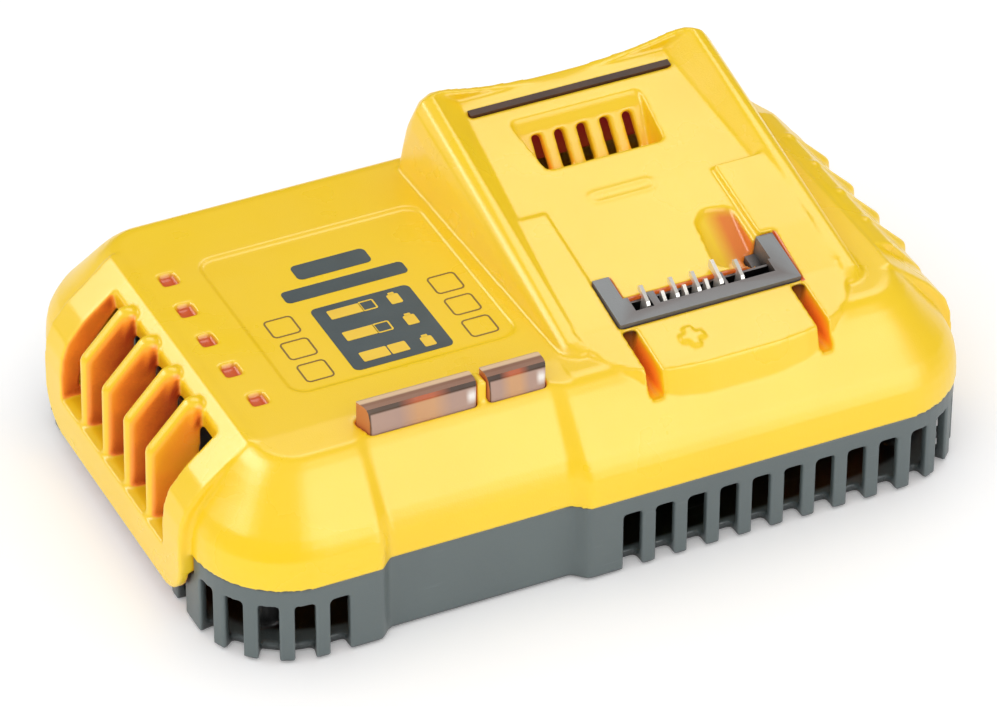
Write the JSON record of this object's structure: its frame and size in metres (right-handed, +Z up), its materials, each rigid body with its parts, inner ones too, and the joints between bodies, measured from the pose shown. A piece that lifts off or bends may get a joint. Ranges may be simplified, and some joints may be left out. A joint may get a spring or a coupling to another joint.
{
  "type": "power tool battery charger",
  "caption": "Fan-cooled charger with a tilted sliding battery dock, upright contact blades, louvred ends, light pipes and a slotted two-tone housing",
  "frame": {"origin": "on the ground under the middle of the housing", "axes": "X runs along the housing, from the deck side to the dock side, Y runs to the back, Z is up"},
  "size_m": [0.226, 0.147, 0.079],
  "materials": {
    "yellow_plastic": "moulded, fine satin texture",
    "charcoal_plastic": "moulded, satin",
    "grey_plastic": "moulded, satin",
    "contact_metal": "plated contact blades",
    "light_pipe": "clear smoked moulding",
    "circuit_board": "solder mask",
    "indicator": "diffused lens",
    "seal_rubber": "matt",
    "ferrite": "sintered, matt",
    "winding_tape": "tape wound",
    "capacitor_sleeve": "shrink sleeve",
    "copper_wire": "enamelled",
    "fuse_glass": "clear",
    "heatsink_metal": "extruded",
    "black_plastic": "moulded",
    "screw_steel": "zinc plated",
    "foot_rubber": "matt"
  },
  "bodies": {
    "housing": {"top_shell": "yellow_plastic", "base_tray": "charcoal_plastic", "terminal_block": "grey_plastic", "power_blades": "contact_metal", "signal_blades": "contact_metal", "light_pipe_long": "light_pipe", "light_pipe_short": "light_pipe", "indicator_board": "circuit_board", "indicator_leds": "indicator", "dock_seal": "seal_rubber", "main_board": "circuit_board", "riser_board": "circuit_board", "transformer_core": "ferrite", "transformer_bobbin": "winding_tape", "bulk_capacitor": "capacitor_sleeve", "output_capacitors": "capacitor_sleeve", "filter_choke": "ferrite", "choke_winding": "copper_wire", "filter_capacitor": "winding_tape", "mains_fuse": "fuse_glass", "primary_heatsink": "heatsink_metal", "output_heatsink": "heatsink_metal", "switch_transistor": "black_plastic", "output_rectifier": "black_plastic", "fan_frame": "black_plastic", "housing_screws": "screw_steel", "board_screws": "screw_steel", "rubber_feet": "foot_rubber", "cord_gland": "foot_rubber"},
    "rotor": {"fan_rotor": "black_plastic"}
  },
  "joints": [
    {"name": "fan_spin", "type": "hinge", "parent": "housing", "child": "rotor", "pos_m": [-0.088, 0, 0.0233], "axis": [1, 0, 0], "continuous": true}
  ]
}
